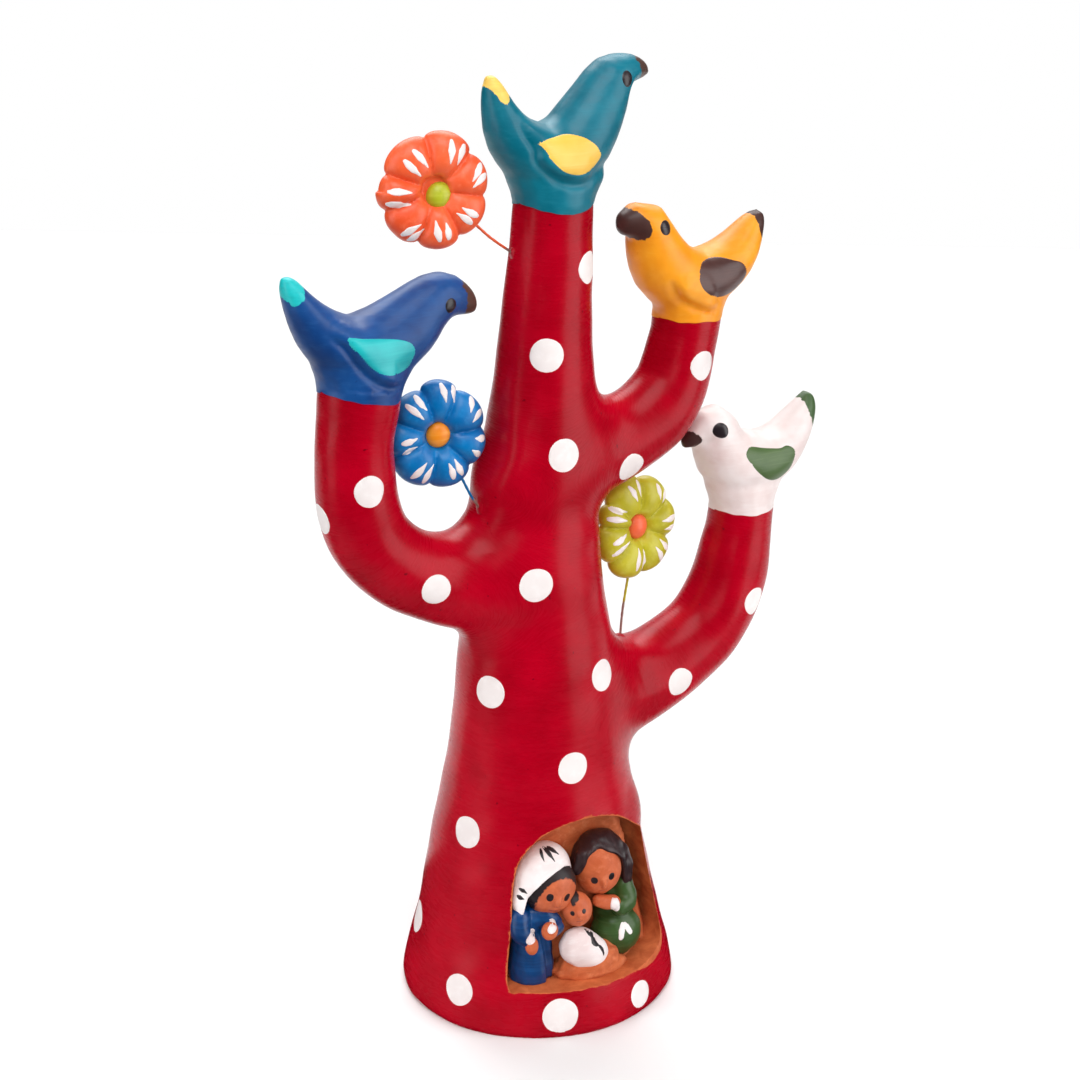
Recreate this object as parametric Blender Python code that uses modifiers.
"""Clay tree of life: a painted candelabra tree with four birds, three wire-stemmed
flowers and a nativity niche in its foot.

Metres, +Z up. The origin is the centre of the underside; the niche faces -Y and the
branches spread along X. Lengths below are in millimetres and scaled by MM.
"""
from math import atan2, ceil, cos, pi, radians, sin, sqrt

import bmesh
import bpy
from mathutils import Matrix, Vector

MM = 0.001
GAP = 0.3                 # clearance between pieces that touch

# ---------------------------------------------------------------- driving dimensions
OVAL = 0.945              # trunk depth over trunk width
TRUNK_TOP = 206.0
TRUNK_STATIONS = (        # height, half width along X
    (0.0, 35.0), (2.0, 36.0), (9.0, 34.8), (20.0, 32.0), (35.0, 28.9), (50.0, 26.2),
    (64.0, 23.6), (80.0, 21.5), (95.0, 19.7), (117.0, 16.5), (140.0, 14.5),
    (165.0, 12.3), (184.0, 10.7), (TRUNK_TOP, 9.5),
)
TRUNK_LEAN = ((0.0, 0.0), (60.0, -1.3), (95.0, -2.2), (117.0, -3.5), (140.0, -2.7),
              (165.0, -1.2), (TRUNK_TOP, 0.3))
TRUNK_RING_STEP = 12.0
TRUNK_SIDES = 36
WALL = 6.5                # thickness of the thrown trunk wall
HOLLOW_TOP = 122.0

SLAB_TOP = 12.0
VENT_RADIUS = 4.0
VENT_BACK = 14.0          # the kiln vent sits behind the centre of the slab
HOLLOW_CROWN = 4.0        # how far the hollow's closed top comes to a point

NICHE_LEFT = -22.3
NICHE_RIGHT = 24.3
NICHE_SPRING_LEFT = (-18.8, 42.5)
NICHE_SPRING_RIGHT = (22.0, 42.0)
NICHE_CROWN = (1.0, 55.4)
NICHE_BACK = -10.0
NICHE_ROUNDING = 5.0
NICHE_MOUTH = -45.0       # the niche is cut from well in front of the trunk
LINER_MOUTH = -40.0
LINER_WALL = 3.2

FLOWER_THICKNESS = 7.0
SOCKET_RADIUS = 3.5
BUTTON_RADIUS = 3.1
WIRE_RADIUS = 0.5

# Each branch is a coil of clay: its centre line in the XZ plane with the coil's radius.
BRANCHES = {
    "left_branch": (
        (-4.0, 109.0, 13.5), (-18.0, 112.8, 12.0), (-30.0, 116.4, 10.7), (-40.6, 122.0, 10.1),
        (-48.2, 130.2, 9.7), (-51.4, 141.0, 9.5), (-51.9, 153.0, 9.3), (-51.0, 160.5, 9.5),
        (-50.2, 167.5, 9.8),
    ),
    "upper_right_branch": (
        (-1.0, 139.5, 12.0), (11.0, 142.6, 11.0), (21.0, 145.6, 10.2), (29.8, 150.4, 9.9),
        (35.6, 157.4, 9.2), (37.9, 166.0, 8.6), (38.8, 169.8, 8.4), (39.5, 175.5, 8.5),
    ),
    "lower_right_branch": (
        (2.0, 70.5, 13.4), (16.0, 74.9, 12.2), (27.0, 78.2, 11.4), (38.0, 82.6, 10.9),
        (47.8, 89.2, 10.5), (54.2, 98.8, 10.0), (57.2, 109.4, 9.2), (58.3, 115.6, 8.5),
        (58.8, 122.0, 8.3),
    ),
}
BRANCH_RING_STEP = 5.0
BRANCH_BEVEL_RESOLUTION = 6

# Each bird stands on a branch tip. Its stations run from tail tip to beak tip:
# forward, up, half thickness, half width, all measured from the centre of the tip.
BIRDS = {
    "teal_bird": {
        "limb": "trunk", "tip": (0.3, 204.5), "facing": 1, "lean": 2.5, "foot": 9.5,
        "stations": (
            (-17.4, 31.8, 0.9, 1.3), (-16.6, 29.0, 2.4, 3.0), (-14.9, 24.0, 3.9, 4.8),
            (-11.6, 17.8, 6.0, 7.2), (-4.6, 12.6, 8.2, 9.2), (3.6, 13.4, 8.9, 9.4),
            (8.6, 19.4, 8.2, 8.4), (12.2, 25.0, 6.9, 7.0), (15.6, 29.0, 6.2, 6.2),
            (20.0, 30.6, 4.3, 4.3), (23.4, 30.2, 2.6, 2.5), (25.3, 29.6, 1.0, 1.0),
        ),
    },
    "blue_bird": {
        "limb": "left_branch", "tip": (-50.4, 165.7), "facing": 1, "lean": 6.0, "foot": 9.8,
        "stations": (
            (-17.9, 29.0, 0.9, 1.4), (-16.9, 27.0, 2.2, 2.9), (-14.6, 22.6, 3.7, 4.8),
            (-10.6, 16.8, 5.8, 7.2), (-3.4, 11.4, 8.0, 9.2), (5.2, 11.4, 9.0, 9.4),
            (12.0, 15.2, 8.2, 8.2), (17.0, 19.2, 6.7, 6.8), (21.4, 20.8, 6.0, 5.8),
            (25.6, 19.8, 4.2, 4.2), (28.4, 18.0, 2.6, 2.6), (30.0, 16.8, 1.0, 1.0),
        ),
    },
    "yellow_bird": {
        "limb": "upper_right_branch", "tip": (39.3, 173.3), "facing": -1, "lean": 4.0, "foot": 8.5,
        "stations": (
            (-20.9, 23.8, 1.2, 1.8), (-19.4, 22.0, 2.6, 3.4), (-15.8, 18.0, 4.6, 5.6),
            (-10.2, 12.8, 6.4, 8.0), (-2.2, 9.6, 7.8, 9.0), (5.2, 11.4, 8.4, 9.2),
            (9.4, 16.6, 7.6, 8.0), (11.6, 21.4, 6.3, 6.8), (13.4, 24.6, 5.7, 6.2),
            (16.4, 25.6, 4.6, 5.0), (18.8, 24.6, 3.2, 3.4), (20.4, 23.4, 1.2, 1.2),
        ),
    },
    "white_bird": {
        "limb": "lower_right_branch", "tip": (58.7, 119.9), "facing": -1, "lean": 0.0, "foot": 8.3,
        "stations": (
            (-19.4, 28.6, 1.2, 1.8), (-18.6, 26.0, 2.7, 3.4), (-15.6, 20.8, 4.6, 5.6),
            (-10.2, 15.2, 6.4, 7.8), (-2.8, 12.6, 8.2, 8.8), (4.0, 13.6, 8.8, 9.0),
            (8.0, 18.4, 7.2, 7.8), (9.4, 22.4, 6.1, 6.7), (11.2, 24.2, 5.4, 5.9),
            (14.2, 22.9, 3.6, 4.0), (17.2, 20.8, 2.4, 2.6), (19.2, 19.6, 1.0, 1.0),
        ),
    },
}
BIRD_SIDES = 18
BIRD_RING_STEP = 4.0
BIRD_FOOT = (             # up, then half length and half width over the foot's radius
    (0.0, 1.0, 1.0), (3.5, 1.09, 1.0), (7.5, 1.32, 0.97), (11.0, 1.28, 0.86),
    (13.0, 0.6, 0.5),
)

# Each flower: where its wire leaves the clay, the flower's centre, the compass turn
# of its face from -Y towards +X, its upward tilt, its outer radius and its lobes.
FLOWERS = {
    "orange_flower": {
        "root": (-10.4, 1.0, 195.0), "centre": (-31.4, 0.0, 211.4), "turn": -13.0,
        "tilt": 5.0, "radius": 13.2, "lobes": 7,
    },
    "blue_flower": {
        "root": (-18.9, -2.0, 132.6), "centre": (-29.6, 2.5, 152.2), "turn": -8.0,
        "tilt": 4.0, "radius": 13.0, "lobes": 7,
    },
    "lime_flower": {
        "root": (23.0, 0.6, 89.6), "centre": (27.8, 3.0, 119.8), "turn": 14.0,
        "tilt": 4.0, "radius": 13.9, "lobes": 8,
    },
}

# The figures are pellets of clay: centre, radii and lean in degrees about Y.
PELLETS = {
    "manger_mound": ((1.0, -23.6, 13.7), (9.2, 5.4, 6.6), 0.0),
    "baby_swaddle": ((-0.6, -25.2, 19.4), (7.6, 4.0, 4.8), 30.0),
    "baby_head": ((-3.0, -23.4, 29.0), (3.7, 3.6, 4.2), -8.0),
    "mother_head": ((-8.9, -19.4, 36.6), (6.0, 5.6, 7.1), 14.0),
    "mother_veil": ((-9.9, -18.0, 38.6), (7.6, 6.6, 9.6), 14.0),
    "mother_upper_hand": ((-9.6, -26.0, 29.0), (2.3, 1.9, 2.4), 0.0),
    "mother_lower_hand": ((-15.0, -26.0, 23.9), (1.9, 1.7, 2.6), 0.0),
    "father_head": ((6.6, -18.6, 37.0), (5.9, 5.6, 6.8), -6.0),
    "father_hair": ((7.4, -17.2, 39.4), (7.2, 6.2, 8.4), -6.0),
    "father_arm": ((5.4, -23.0, 29.6), (4.0, 2.4, 2.3), 0.0),
}
FACE_OPENINGS = {         # where the veil and the hair leave the face free
    "mother_veil": ((-6.6, -26.0, 35.0), (6.4, 9.0, 8.2), 14.0),
    "father_hair": ((5.8, -25.6, 35.6), (5.6, 8.4, 7.6), -6.0),
}
# The kneeling bodies: middle of the hem, half width, half depth, height and how far
# the shoulders lean along X and Y.
ROBES = {
    "mother_body": ((-13.6, -19.6), 5.9, 5.8, 20.0, (1.0, 0.6)),
    "father_body": ((11.2, -18.6), 6.6, 5.6, 19.6, (1.4, 0.4)),
}
ROBE_PROFILE = (          # radius over half width, height over full height
    (0.0, 1.0), (0.45, 0.98), (0.72, 0.86), (0.82, 0.66), (0.90, 0.40), (1.0, 0.16),
    (0.96, 0.0), (0.0, 0.0),
)

PARTS = "clay_tree_of_life"
CUTTERS = "cutters"


# ---------------------------------------------------------------- scene and materials
def empty_scene():
    """Remove everything and make the two collections."""
    for thing in list(bpy.data.objects):
        bpy.data.objects.remove(thing, do_unlink=True)
    for name in (PARTS, CUTTERS):
        old = bpy.data.collections.get(name)
        if old:
            bpy.data.collections.remove(old)
        bpy.context.scene.collection.children.link(bpy.data.collections.new(name))


def paint(name, colour, roughness=0.45):
    """A plain painted or bare clay finish."""
    material = bpy.data.materials.new(name)
    material.use_nodes = True
    shader = material.node_tree.nodes["Principled BSDF"]
    shader.inputs["Base Color"].default_value = (*colour, 1.0)
    shader.inputs["Roughness"].default_value = roughness
    shader.inputs["Metallic"].default_value = 0.0
    return material


def wire_finish(name):
    """Bare drawn iron wire."""
    material = paint(name, (0.20, 0.17, 0.16), 0.4)
    material.node_tree.nodes["Principled BSDF"].inputs["Metallic"].default_value = 0.9
    return material


def place(name, mesh, collection, material=None):
    """Put a mesh in the scene as a named object."""
    thing = bpy.data.objects.new(name, mesh)
    bpy.data.collections[collection].objects.link(thing)
    if material:
        mesh.materials.clear()
        mesh.materials.append(material)
    if collection == CUTTERS:
        thing.hide_render = True
        thing.display_type = "WIRE"
    return thing


def finish(thing, angle=40.0):
    """Smooth shading with sharp edges kept."""
    thing.data.shade_smooth()
    thing.data.set_sharp_from_angle(angle=radians(angle))
    return thing


# ---------------------------------------------------------------- shape helpers
def smooth_path(stations, step):
    """Points along a Catmull-Rom curve through the stations, about step apart."""
    rows = [Vector(station) for station in stations]
    path = []
    for i in range(len(rows) - 1):
        before = rows[max(i - 1, 0)]
        start, end = rows[i], rows[i + 1]
        after = rows[min(i + 2, len(rows) - 1)]
        count = max(1, ceil((end - start).length / step))
        for k in range(count):
            t = k / count
            path.append(0.5 * (
                2 * start + (end - before) * t
                + (2 * before - 5 * start + 4 * end - after) * t ** 2
                + (3 * start - before - 3 * end + after) * t ** 3))
    path.append(rows[-1])
    return path


def read_along(stations, at):
    """Straight-line reading of a (key, value) list."""
    for (low, first), (high, second) in zip(stations, stations[1:]):
        if at <= high:
            return first + (second - first) * (at - low) / (high - low)
    return stations[-1][1]


def baked(thing):
    """Swap an object's modifiers for the mesh that they make, in world space."""
    bpy.context.view_layer.update()
    graph = bpy.context.evaluated_depsgraph_get()
    mesh = bpy.data.meshes.new_from_object(thing.evaluated_get(graph))
    mesh.transform(thing.matrix_world)
    edit = bmesh.new()
    edit.from_mesh(mesh)
    bmesh.ops.remove_doubles(edit, verts=edit.verts, dist=0.02 * MM)
    edit.to_mesh(mesh)
    edit.free()
    mesh.name = thing.name
    return mesh


def turned(name, profile, steps):
    """Mesh of a profile, top to bottom down its outer side, turned about Z."""
    mesh = bpy.data.meshes.new(name)
    mesh.from_pydata([(r * MM, 0.0, z * MM) for r, z in profile],
                     [(i, i + 1) for i in range(len(profile) - 1)], [])
    thing = place(name + "_profile", mesh, CUTTERS)
    screw = thing.modifiers.new("Screw", "SCREW")
    screw.steps = steps
    screw.render_steps = steps
    screw.use_merge_vertices = True
    screw.merge_threshold = 0.01 * MM
    result = baked(thing)
    bpy.data.objects.remove(thing, do_unlink=True)
    return result


def tube(name, route, material=None, collection=PARTS, resolution=2):
    """Round coil along a route of (point, radius), with filled ends."""
    curve = bpy.data.curves.new(name, "CURVE")
    curve.dimensions = "3D"
    curve.bevel_depth = MM
    curve.bevel_resolution = resolution
    curve.render_resolution_u = 0
    curve.use_fill_caps = True
    spline = curve.splines.new("POLY")
    spline.points.add(len(route) - 1)
    for point, (place_mm, radius) in zip(spline.points, route):
        point.co = (*(Vector(place_mm) * MM), 1.0)
        point.radius = radius
    thing = bpy.data.objects.new(name + "_route", curve)
    bpy.data.collections[CUTTERS].objects.link(thing)
    mesh = baked(thing)
    bpy.data.objects.remove(thing, do_unlink=True)
    return place(name, mesh, collection, material)


def cut(thing, tool, operation="DIFFERENCE"):
    """Boolean the tool into a piece and keep the result as its mesh."""
    change = thing.modifiers.new("Boolean", "BOOLEAN")
    change.operation = operation
    change.object = tool
    change.solver = "EXACT"
    materials = list(thing.data.materials)
    mesh = baked(thing)
    thing.modifiers.clear()
    mesh.materials.clear()
    for material in materials:
        mesh.materials.append(material)
    thing.data = mesh
    thing.matrix_world = Matrix()
    return thing


def grown(thing, amount=GAP):
    """Cutter of a piece's shape, larger all round by the amount."""
    mesh = thing.data.copy()
    edit = bmesh.new()
    edit.from_mesh(mesh)
    edit.normal_update()
    shifts = [vertex.normal * amount * MM for vertex in edit.verts]
    for vertex, shift in zip(edit.verts, shifts):
        vertex.co += shift
    edit.to_mesh(mesh)
    edit.free()
    tool = place(thing.name + "_grown", mesh, CUTTERS)
    tool.matrix_world = thing.matrix_world.copy()
    return tool


def clear_of(thing, *neighbours):
    """Trim a piece back so that it stands a gap clear of its neighbours."""
    for neighbour in neighbours:
        tool = grown(neighbour)
        cut(thing, tool)
        bpy.data.objects.remove(tool, do_unlink=True)
    return thing


def egg(name, centre, radii, material=None, collection=PARTS, lean=0.0, sides=14):
    """Ellipsoid pellet of clay, leaned about Y by an angle in degrees."""
    edit = bmesh.new()
    bmesh.ops.create_uvsphere(edit, u_segments=sides, v_segments=round(sides * 0.65), radius=MM)
    turn = Matrix.Rotation(radians(lean), 4, "Y")
    shape = Matrix.Translation(Vector(centre) * MM) @ turn @ Matrix.Diagonal((*radii, 1.0))
    bmesh.ops.transform(edit, matrix=shape, verts=edit.verts)
    mesh = bpy.data.meshes.new(name)
    edit.to_mesh(mesh)
    edit.free()
    return place(name, mesh, collection, material)


def block(name, low, high):
    """Axis-aligned box cutter between two corners."""
    low, high = Vector(low) * MM, Vector(high) * MM
    edit = bmesh.new()
    size = Matrix.Diagonal((*(high - low), 1.0))
    bmesh.ops.create_cube(edit, size=1.0, matrix=Matrix.Translation((low + high) / 2) @ size)
    mesh = bpy.data.meshes.new(name)
    edit.to_mesh(mesh)
    edit.free()
    return place(name, mesh, CUTTERS)


# ---------------------------------------------------------------- trunk and foot
def trunk_radius(height):
    """Half width of the trunk at a height."""
    return read_along(TRUNK_STATIONS, height)


def make_oval(mesh):
    """Press a turned shape to the trunk's oval and give it the trunk's slight lean."""
    for vertex in mesh.vertices:
        vertex.co.y *= OVAL
        vertex.co.x += read_along(TRUNK_LEAN, vertex.co.z / MM) * MM


def trunk_curve(inset, low, high):
    """Outline of the trunk from high to low, moved inwards by inset."""
    heights = [z for z, _ in TRUNK_STATIONS if low < z < high]
    heights = [low] + heights + [high]
    return [(trunk_radius(z) - inset, z) for z in reversed(heights)]


def make_trunk(red):
    """Hollow tapered trunk with its underside open and its top solid."""
    outer = [(ring.y, ring.x) for ring in reversed(smooth_path(TRUNK_STATIONS, TRUNK_RING_STEP))]
    inner = list(reversed(trunk_curve(WALL, 0.0, HOLLOW_TOP)))
    profile = [(0.0, TRUNK_TOP)] + outer + inner + [(0.0, HOLLOW_TOP + HOLLOW_CROWN)]
    mesh = turned("trunk", profile, TRUNK_SIDES)
    make_oval(mesh)
    return place("trunk", mesh, PARTS, red)


def trunk_plug(name, inset, low, high, collection=CUTTERS, material=None):
    """Solid that fills the trunk between two heights, inset from its outer face."""
    profile = [(0.0, high)] + trunk_curve(inset, low, high) + [(0.0, low)]
    mesh = turned(name, profile, TRUNK_SIDES)
    make_oval(mesh)
    return place(name, mesh, collection, material)


def niche_outline(grow=0.0):
    """Arch outline, anticlockwise from the lower left, in X and Z."""
    left, right = NICHE_LEFT - grow, NICHE_RIGHT + grow
    low_left = (left, SLAB_TOP + GAP)
    low_right = (right, SLAB_TOP + GAP)
    (left_x, left_z), (right_x, right_z) = NICHE_SPRING_LEFT, NICHE_SPRING_RIGHT
    middle = (left_x + right_x) / 2
    spring = (left_z + right_z) / 2
    half = (right_x - left_x) / 2 + grow
    rise = NICHE_CROWN[1] + grow - spring
    arc = [(middle + half * cos(a), spring + rise * sin(a))
           for a in (pi * k / 12 for k in range(13))]
    return [low_left, low_right] + arc


def arch_block(name, outline, front, back, rounding):
    """Arch-shaped block running along Y, with its far edges rounded."""
    edit = bmesh.new()
    near = [edit.verts.new((x * MM, front * MM, z * MM)) for x, z in outline]
    face = edit.faces.new(near)
    far = bmesh.ops.extrude_face_region(edit, geom=[face])["geom"]
    ends = [item for item in far if isinstance(item, bmesh.types.BMVert)]
    bmesh.ops.translate(edit, verts=ends, vec=(0.0, (back - front) * MM, 0.0))
    rim = [e for e in edit.edges if all(v in ends for v in e.verts)]
    rim = [e for e in rim if max(v.co.z for v in e.verts) > (SLAB_TOP + 1.0) * MM]
    bmesh.ops.bevel(edit, geom=rim, offset=rounding * MM, segments=3, affect="EDGES", profile=0.5)
    bmesh.ops.recalc_face_normals(edit, faces=edit.faces)
    mesh = bpy.data.meshes.new(name)
    edit.to_mesh(mesh)
    edit.free()
    return place(name, mesh, CUTTERS)


def make_foot(trunk, terracotta):
    """Cut the niche and add the floor slab and the lining behind the figures."""
    space = arch_block("niche_space", niche_outline(), NICHE_MOUTH, NICHE_BACK, NICHE_ROUNDING)
    cut(trunk, space)
    slab = trunk_plug("base_slab", WALL + GAP, 0.0, SLAB_TOP, PARTS, terracotta)
    edit = bmesh.new()
    bmesh.ops.create_cone(edit, cap_ends=True, segments=20, radius1=VENT_RADIUS * MM,
                          radius2=VENT_RADIUS * MM, depth=3 * SLAB_TOP * MM,
                          matrix=Matrix.Translation((0.0, VENT_BACK * MM, 0.0)))
    mesh = bpy.data.meshes.new("vent_drill")
    edit.to_mesh(mesh)
    edit.free()
    cut(slab, place("vent_drill", mesh, CUTTERS))
    liner = arch_block("niche_liner", niche_outline(LINER_WALL), LINER_MOUTH,
                       NICHE_BACK + LINER_WALL, NICHE_ROUNDING + LINER_WALL / 2)
    bpy.data.collections[CUTTERS].objects.unlink(liner)
    bpy.data.collections[PARTS].objects.link(liner)
    liner.hide_render = False
    liner.display_type = "TEXTURED"
    liner.data.materials.append(terracotta)
    hollow = trunk_plug("hollow_space", WALL + GAP, SLAB_TOP - 2.0, HOLLOW_TOP - 2.0)
    cut(liner, hollow, "INTERSECT")
    cut(liner, space)
    for piece in (trunk, slab, liner):
        finish(piece)


# ---------------------------------------------------------------- branches and birds
def tip_frame(spec):
    """Matrix of the flat tip that a bird stands on."""
    move = Matrix.Translation((spec["tip"][0] * MM, 0.0, spec["tip"][1] * MM))
    return move @ Matrix.Rotation(radians(spec["lean"]), 4, "Y")


def make_branches(red):
    """The three coils, saddled against the trunk."""
    body = trunk_plug("trunk_space", -GAP, 1.0, TRUNK_TOP)
    for name, stations in BRANCHES.items():
        path = smooth_path(stations, BRANCH_RING_STEP)
        route = [((p.x, 0.0, p.y), p.z) for p in path]
        branch = tube(name, route, red, resolution=BRANCH_BEVEL_RESOLUTION)
        cut(branch, body)


def level_tips():
    """Cut the trunk and the branches flat a gap under their birds."""
    for name, spec in BIRDS.items():
        above = block(name + "_space", (-16.0, -16.0, -GAP), (16.0, 16.0, 14.0))
        above.data.transform(tip_frame(spec))
        finish(cut(bpy.data.objects[spec["limb"]], above))


def loft(name, rings):
    """Closed skin over rings of equal point count, with a fan at each end."""
    edit = bmesh.new()
    loops = [[edit.verts.new(point * MM) for point in ring] for ring in rings]
    count = len(loops[0])
    for first, second in zip(loops, loops[1:]):
        for k in range(count):
            after = (k + 1) % count
            edit.faces.new((first[k], first[after], second[after], second[k]))
    for loop in (loops[0], loops[-1]):
        middle = edit.verts.new(sum((v.co for v in loop), Vector()) / count)
        for k in range(count):
            edit.faces.new((loop[k], middle, loop[(k + 1) % count]))
    bmesh.ops.recalc_face_normals(edit, faces=edit.faces)
    mesh = bpy.data.meshes.new(name)
    edit.to_mesh(mesh)
    edit.free()
    return mesh


def bird_rings(stations, facing, tip):
    """Oval sections square to the bird's spine."""
    path = smooth_path(stations, BIRD_RING_STEP)
    rings = []
    for i, here in enumerate(path):
        ahead = path[min(i + 1, len(path) - 1)] - path[max(i - 1, 0)]
        slope = atan2(ahead.y, ahead.x)
        ring = []
        for k in range(BIRD_SIDES):
            turn = 2 * pi * k / BIRD_SIDES
            off = here.z * cos(turn)
            side = here.w * sin(turn)
            forward = here.x - off * sin(slope)
            up = here.y + off * cos(slope)
            ring.append(Vector((tip[0] + facing * forward, side, tip[1] + up)))
        rings.append(ring)
    return rings


def make_bird(name, spec, material):
    """One bird: a U-shaped body pressed onto a round foot."""
    body = loft(name, bird_rings(spec["stations"], spec["facing"], spec["tip"]))
    bird = place(name, body, PARTS, material)
    turns = [2 * pi * k / BIRD_SIDES for k in range(BIRD_SIDES)]
    rings = [[Vector((spec["foot"] * wide * cos(a), spec["foot"] * deep * sin(a), up))
              for a in turns] for up, wide, deep in BIRD_FOOT]
    pedestal = place(name + "_foot", loft(name + "_foot", rings), CUTTERS)
    pedestal.data.transform(tip_frame(spec))
    cut(bird, pedestal, "UNION")
    return finish(bird, 60.0)


# ---------------------------------------------------------------- flowers
def flower_frame(spec):
    """Matrix with the flower's face along its own +Z and its top along +Y."""
    turn, tilt = radians(spec["turn"]), radians(spec["tilt"])
    face = Vector((sin(turn) * cos(tilt), -cos(turn) * cos(tilt), sin(tilt)))
    across = Vector((0.0, 0.0, 1.0)).cross(face).normalized()
    up = face.cross(across)
    frame = Matrix((across, up, face)).transposed().to_4x4()
    frame.translation = Vector(spec["centre"]) * MM
    return frame


def petal_disc(name, radius, lobes):
    """Pillow of clay with puffed lobes and a socket for the button."""
    edit = bmesh.new()
    bmesh.ops.create_uvsphere(edit, u_segments=lobes * 4, v_segments=10, radius=1.0)
    for vertex in edit.verts:
        x, y, z = vertex.co
        reach = min(1.0, sqrt(x * x + y * y))
        lobe = abs(cos(lobes / 2 * atan2(y, x))) ** 0.6
        edge = 0.88 + 0.12 * lobe
        crown = 0.62 + 0.38 * lobe * reach
        vertex.co = (x * radius * edge * MM, y * radius * edge * MM,
                     z * FLOWER_THICKNESS / 2 * crown * MM)
    mesh = bpy.data.meshes.new(name)
    edit.to_mesh(mesh)
    edit.free()
    return mesh


def make_flower(name, spec, colour, button_colour, iron):
    """Petals and button on a wire that springs from the clay."""
    frame = flower_frame(spec)
    petals = place(name + "_petals", petal_disc(name + "_petals", spec["radius"], spec["lobes"]),
                   PARTS, colour)
    drill = egg(name + "_socket", (0.0, 0.0, 3.6), (SOCKET_RADIUS, SOCKET_RADIUS, 3.0),
                None, CUTTERS)
    cut(petals, drill)
    button = egg(name + "_button", (0.0, 0.0, 3.4), (BUTTON_RADIUS, BUTTON_RADIUS, 2.4),
                 button_colour, sides=12)
    clear_of(button, petals)

    root = Vector(spec["root"])
    centre = Vector(spec["centre"])
    towards = (root - centre).normalized()
    rim = centre + towards * (spec["radius"] + GAP)
    stem_root = root + (rim - root).normalized() * GAP
    stem = tube(name + "_stem", [(stem_root, WIRE_RADIUS), (rim, WIRE_RADIUS)], iron)

    nod = bpy.data.objects.new(name + "_nod", None)
    sway = bpy.data.objects.new(name + "_sway", None)
    for hinge in (nod, sway):
        bpy.data.collections[PARTS].objects.link(hinge)
    nod.matrix_world = Matrix.Translation(root * MM) @ frame.to_3x3().to_4x4()
    sway.parent = nod
    bpy.context.view_layer.update()
    sway.matrix_world = Matrix.Translation(rim * MM) @ frame.to_3x3().to_4x4()
    bpy.context.view_layer.update()
    for piece, hinge, where in ((petals, sway, frame), (button, sway, frame), (stem, nod, Matrix())):
        piece.parent = hinge
        bpy.context.view_layer.update()
        piece.matrix_world = where
        finish(piece, 60.0)


# ---------------------------------------------------------------- nativity
def robed_body(name, material):
    """Kneeling robed figure: a turned bell pressed oval and leaned over."""
    (hem_x, hem_y), half_width, half_depth, height, (lean_x, lean_y) = ROBES[name]
    profile = [(half_width * r, height * z) for r, z in ROBE_PROFILE]
    mesh = turned(name, profile, 16)
    mesh.transform(Matrix.Diagonal((1.0, half_depth / half_width, 1.0, 1.0)))
    for vertex in mesh.vertices:
        share = vertex.co.z / (height * MM)
        vertex.co.x += lean_x * share * MM
        vertex.co.y += lean_y * share * MM
    mesh.transform(Matrix.Translation(Vector((hem_x, hem_y, SLAB_TOP + GAP)) * MM))
    return place(name, mesh, PARTS, material)


def pellet(name, material, sides=12):
    """One of the listed pellets of clay."""
    centre, radii, lean = PELLETS[name]
    return egg(name, centre, radii, material, lean=lean, sides=sides)


def open_face(piece):
    """Cut a veil or a head of hair away in front of the face."""
    centre, radii, lean = FACE_OPENINGS[piece.name]
    space = egg(piece.name + "_opening", centre, radii, None, CUTTERS, lean=lean, sides=16)
    cut(piece, space)


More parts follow.
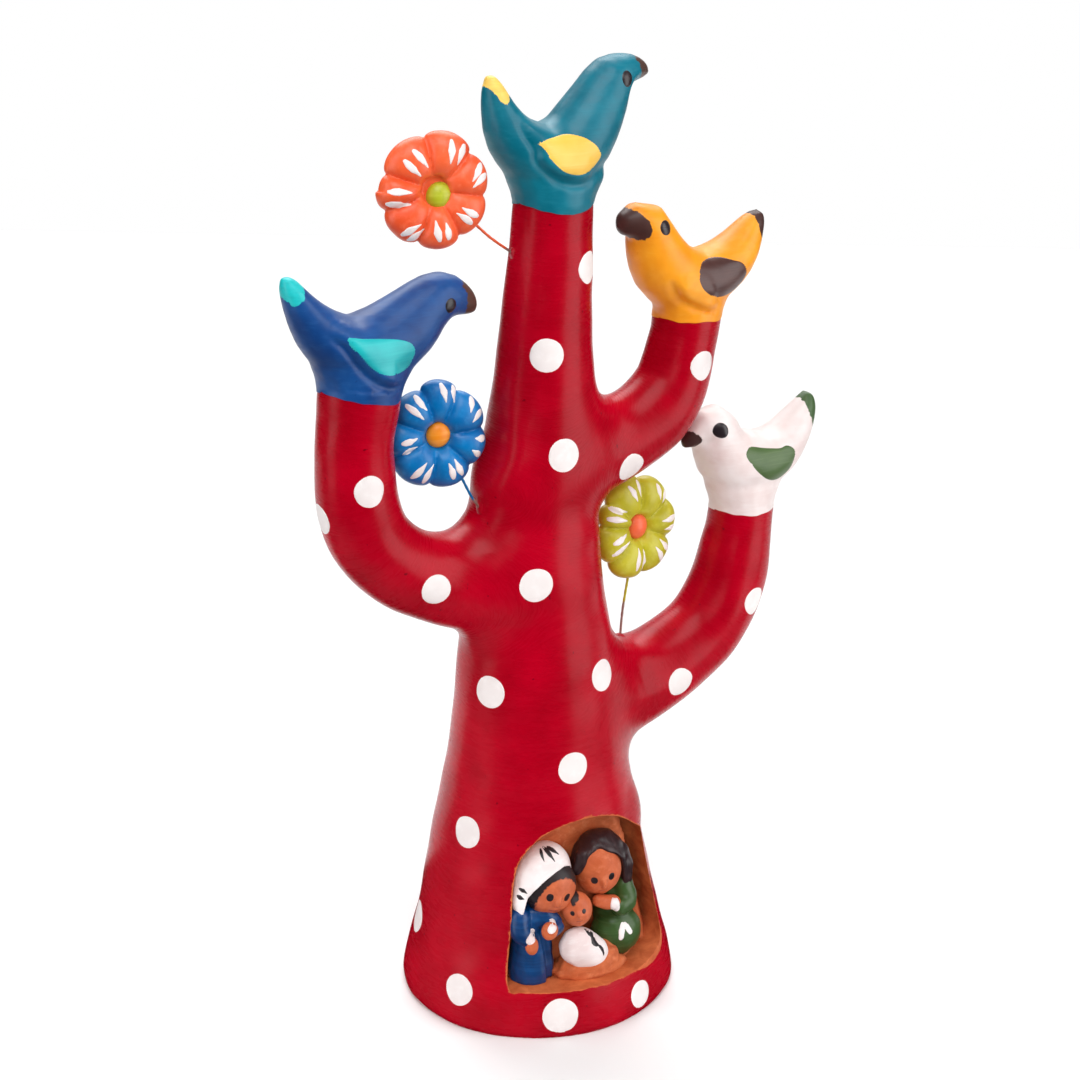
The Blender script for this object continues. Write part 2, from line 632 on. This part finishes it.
def make_nativity(finishes):
    """Mother, father and child on the slab, each trimmed back to its neighbours."""
    skin, white = finishes["terracotta"], finishes["chalk_white"]
    mound = pellet("manger_mound", skin, 14)
    cut(mound, block("below_floor", (-40.0, -60.0, -5.0), (40.0, 20.0, SLAB_TOP + GAP)))
    swaddle = pellet("baby_swaddle", white, 14)
    clear_of(swaddle, mound)
    baby_head = pellet("baby_head", skin, 14)
    clear_of(baby_head, swaddle)

    mother_body = robed_body("mother_body", finishes["navy"])
    mother_head = pellet("mother_head", skin, 16)
    clear_of(mother_head, mother_body, baby_head)
    clear_of(mother_body, swaddle, mound, baby_head)
    veil = pellet("mother_veil", white, 16)
    clear_of(veil, mother_head, mother_body)
    open_face(veil)

    father_body = robed_body("father_body", finishes["forest_green"])
    father_head = pellet("father_head", skin, 16)
    clear_of(father_head, father_body, mother_head, baby_head)
    clear_of(father_body, swaddle, mound, baby_head)
    hair = pellet("father_hair", finishes["hair_brown"], 16)
    clear_of(hair, father_head, father_body, mother_head)
    open_face(hair)
    clear_of(veil, father_head, hair)

    upper_hand = pellet("mother_upper_hand", skin)
    clear_of(upper_hand, mother_body, swaddle, baby_head, mother_head)
    lower_hand = pellet("mother_lower_hand", skin)
    clear_of(lower_hand, mother_body, swaddle)
    arm = pellet("father_arm", skin)
    clear_of(arm, father_body, father_head, baby_head, swaddle)
    for piece in (mound, swaddle, baby_head, mother_body, mother_head, veil, father_body,
                  father_head, hair, upper_hand, lower_hand, arm):
        finish(piece, 60.0)


# ---------------------------------------------------------------- assembly
def main():
    empty_scene()
    finishes = {
        "tree_red": paint("tree_red", (0.50, 0.0, 0.015), 0.35),
        "terracotta": paint("terracotta", (0.53, 0.13, 0.04), 0.75),
        "teal": paint("teal", (0.005, 0.19, 0.25)),
        "royal_blue": paint("royal_blue", (0.02, 0.07, 0.25)),
        "mango_yellow": paint("mango_yellow", (0.90, 0.36, 0.02)),
        "chalk_white": paint("chalk_white", (0.85, 0.80, 0.78), 0.55),
        "petal_orange": paint("petal_orange", (0.90, 0.13, 0.04)),
        "petal_blue": paint("petal_blue", (0.0, 0.18, 0.50)),
        "petal_lime": paint("petal_lime", (0.48, 0.44, 0.02)),
        "button_lime": paint("button_lime", (0.42, 0.48, 0.02)),
        "button_orange": paint("button_orange", (0.95, 0.30, 0.01)),
        "button_coral": paint("button_coral", (0.85, 0.10, 0.03)),
        "navy": paint("navy", (0.0, 0.045, 0.19)),
        "forest_green": paint("forest_green", (0.06, 0.10, 0.025)),
        "hair_brown": paint("hair_brown", (0.035, 0.016, 0.02)),
        "iron_wire": wire_finish("iron_wire"),
    }
    trunk = make_trunk(finishes["tree_red"])
    make_foot(trunk, finishes["terracotta"])
    make_branches(finishes["tree_red"])
    level_tips()
    coats = {"teal_bird": "teal", "blue_bird": "royal_blue", "yellow_bird": "mango_yellow",
             "white_bird": "chalk_white"}
    for name, spec in BIRDS.items():
        make_bird(name, spec, finishes[coats[name]])
    petals = {"orange_flower": ("petal_orange", "button_lime"),
              "blue_flower": ("petal_blue", "button_orange"),
              "lime_flower": ("petal_lime", "button_coral")}
    for name, spec in FLOWERS.items():
        colour, button = petals[name]
        make_flower(name, spec, finishes[colour], finishes[button], finishes["iron_wire"])
    make_nativity(finishes)


main()
